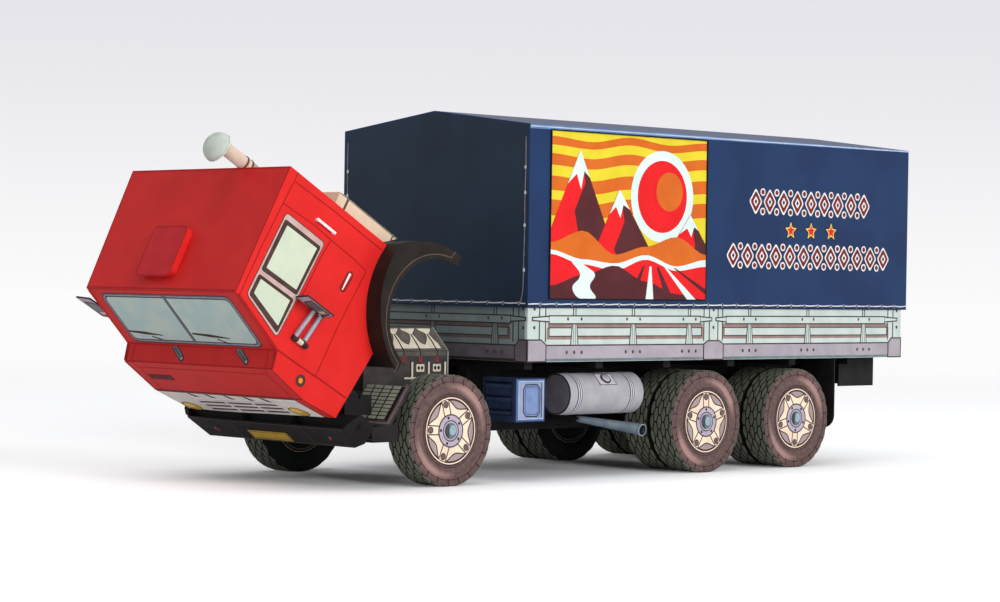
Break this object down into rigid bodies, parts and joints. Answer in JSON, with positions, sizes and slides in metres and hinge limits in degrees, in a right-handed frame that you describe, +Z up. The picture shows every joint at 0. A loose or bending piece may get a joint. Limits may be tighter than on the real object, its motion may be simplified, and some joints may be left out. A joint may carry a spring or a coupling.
{
  "type": "card model truck",
  "caption": "Card model of a cab-over tilt truck, its printed cab tipped forward off the engine, with a boarded bed under a tall ridged tilt, fuel tanks, steps and turning wheels",
  "frame": {"origin": "middle of the whole model's length and width, on the ground under the wheels", "axes": "+Y towards the tail, so the truck faces -Y; +X towards the truck's own left side, where the exhaust is; +Z up"},
  "size_m": [0.0782, 0.2646, 0.1037],
  "materials": {
    "card_red": "matt",
    "card_black": "matt",
    "card_grey": "matt",
    "card_beige": "matt",
    "card_blue": "matt",
    "card_mint": "matt",
    "card_navy": "matt",
    "board_tyre": "matt",
    "board_rim": "matt"
  },
  "bodies": {
    "chassis": {"frame_rails": "card_black", "backbone": "card_black", "engine": "card_grey", "bumper": "card_black", "step_left": "card_black", "step_right": "card_black", "locker_left": "card_blue", "locker_right": "card_blue", "fuel_tank_left": "card_grey", "fuel_tank_right": "card_grey", "exhaust": "card_blue", "mud_flaps": "card_black", "underrun": "card_black", "bed_floor": "card_mint", "side_board_left": "card_mint", "side_board_right": "card_mint", "headboard": "card_mint", "tailboard": "card_mint", "tilt_wrap": "card_navy", "tilt_front": "card_navy", "tilt_rear": "card_navy", "front_axle": "card_black", "mid_axle": "card_black", "rear_axle": "card_black"},
    "cab": {"cab_side_left": "card_red", "cab_side_right": "card_red", "cab_roof": "card_red", "cab_windscreen": "card_red", "cab_front": "card_red", "cab_back": "card_red", "cab_floor": "card_black", "mudguard_left": "card_black", "mudguard_right": "card_black", "roof_hatch": "card_red", "air_box": "card_beige", "snorkel": "card_black", "mirror_left": "card_grey", "mirror_right": "card_grey", "grab_bars": "card_black", "hinge_arms": "card_black"},
    "front_wheel_left": {"front_tyre_left": "board_tyre", "front_rim_left": "board_rim"},
    "front_wheel_right": {"front_tyre_right": "board_tyre", "front_rim_right": "board_rim"},
    "mid_wheel_left": {"mid_tyre_left": "board_tyre", "mid_rim_left": "board_rim"},
    "mid_wheel_right": {"mid_tyre_right": "board_tyre", "mid_rim_right": "board_rim"},
    "rear_wheel_left": {"rear_tyre_left": "board_tyre", "rear_rim_left": "board_rim"},
    "rear_wheel_right": {"rear_tyre_right": "board_tyre", "rear_rim_right": "board_rim"}
  },
  "joints": [
    {"name": "front_spin_left", "type": "hinge", "parent": "chassis", "child": "front_wheel_left", "pos_m": [0, -0.06107, 0.015], "axis": [1, 0, 0], "continuous": true},
    {"name": "front_spin_right", "type": "hinge", "parent": "chassis", "child": "front_wheel_right", "pos_m": [0, -0.06107, 0.015], "axis": [1, 0, 0], "continuous": true},
    {"name": "mid_spin_left", "type": "hinge", "parent": "chassis", "child": "mid_wheel_left", "pos_m": [0, 0.03983, 0.015], "axis": [1, 0, 0], "continuous": true},
    {"name": "mid_spin_right", "type": "hinge", "parent": "chassis", "child": "mid_wheel_right", "pos_m": [0, 0.03983, 0.015], "axis": [1, 0, 0], "continuous": true},
    {"name": "rear_spin_left", "type": "hinge", "parent": "chassis", "child": "rear_wheel_left", "pos_m": [0, 0.08083, 0.015], "axis": [1, 0, 0], "continuous": true},
    {"name": "rear_spin_right", "type": "hinge", "parent": "chassis", "child": "rear_wheel_right", "pos_m": [0, 0.08083, 0.015], "axis": [1, 0, 0], "continuous": true},
    {"name": "cab_tilt", "type": "hinge", "parent": "chassis", "child": "cab", "pos_m": [0, -0.08902, 0.0238], "axis": [1, 0, 0], "range_deg": [-59.5, 0]}
  ]
}
